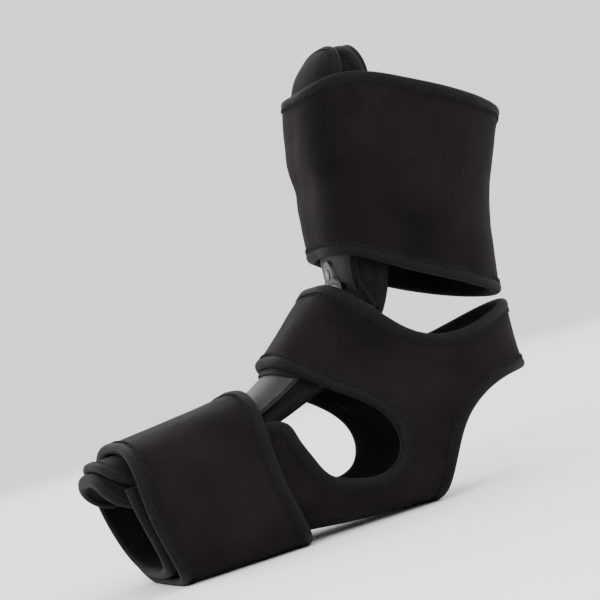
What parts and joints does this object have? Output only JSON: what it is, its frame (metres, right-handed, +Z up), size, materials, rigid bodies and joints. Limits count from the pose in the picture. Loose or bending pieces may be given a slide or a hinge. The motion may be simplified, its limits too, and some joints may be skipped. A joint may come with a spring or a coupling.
{
  "type": "ankle foot orthosis",
  "caption": "Dorsal night splint: shin and foot shells joined by a locking ankle hinge, bound foam liners, and neoprene calf, ankle and forefoot wraps with hook closures.",
  "frame": {"origin": "on the floor, under the ball of the foot, in the middle of the forefoot wrap's width", "axes": "+X to the toes, +Y to the medial side of a right foot, +Z up; the sole is level"},
  "size_m": [0.2653, 0.1094, 0.239],
  "materials": {
    "neoprene": "knitted nylon over neoprene foam",
    "binding_tape": "woven edge tape, stitched",
    "liner_foam": "brushed knit over foam",
    "sleeve_cloth": "woven cloth",
    "hook_patch": "moulded hooks",
    "black_shell": "satin",
    "grey_shell": "satin",
    "hinge_metal": "satin",
    "fastener_steel": "bright"
  },
  "bodies": {
    "shin": {"shin_shell": "black_shell", "shin_pad": "liner_foam", "shin_pad_binding": "binding_tape", "shin_sleeve": "sleeve_cloth", "shin_sleeve_binding": "binding_tape", "calf_wrap": "neoprene", "calf_top_binding": "binding_tape", "calf_bottom_binding": "binding_tape", "shin_leaf": "hinge_metal", "shin_rivet": "fastener_steel", "hinge_pin": "fastener_steel", "lock_washer": "fastener_steel"},
    "foot": {"foot_leaf": "hinge_metal", "foot_rivets": "fastener_steel", "foot_shell": "grey_shell", "foot_pad": "liner_foam", "foot_pad_binding": "binding_tape", "foot_sleeve": "sleeve_cloth", "foot_sleeve_binding": "binding_tape", "ankle_wrap": "neoprene", "ankle_top_binding": "binding_tape", "heel_binding": "binding_tape", "instep_binding": "binding_tape", "sole_front_binding": "binding_tape", "forefoot_wrap": "neoprene", "forefoot_rear_binding": "binding_tape", "forefoot_front_binding": "binding_tape"},
    "lock_nut": {"lock_nut": "fastener_steel"},
    "calf_flap": {"calf_flap": "neoprene", "calf_hook": "hook_patch"},
    "ankle_flap": {"ankle_flap": "neoprene", "ankle_hook": "hook_patch"},
    "forefoot_flap": {"forefoot_flap": "neoprene", "forefoot_hook": "hook_patch"}
  },
  "joints": [
    {"name": "ankle_hinge", "type": "hinge", "parent": "shin", "child": "foot", "pos_m": [-0.06865, 0, 0.11639], "axis": [0, -1, 0], "range_deg": [0, 20]},
    {"name": "lock_nut_turn", "type": "hinge", "parent": "shin", "child": "lock_nut", "pos_m": [-0.06865, -0.01525, 0.11639], "axis": [0, -1, 0], "continuous": true},
    {"name": "calf_flap_peel", "type": "hinge", "parent": "shin", "child": "calf_flap", "pos_m": [-0.13783, -0.04012, 0.15314], "axis": [0.1948, 0.1137, -0.9742], "range_deg": [0, 50]},
    {"name": "ankle_flap_peel", "type": "hinge", "parent": "foot", "child": "ankle_flap", "pos_m": [-0.08519, -0.04096, 0.067], "axis": [0.7071, 0.0045, -0.7071], "range_deg": [0, 50]},
    {"name": "forefoot_flap_peel", "type": "hinge", "parent": "foot", "child": "forefoot_flap", "pos_m": [0.02871, -0.05131, 0.01531], "axis": [0.9972, -0.0102, -0.0739], "range_deg": [0, 50]}
  ]
}
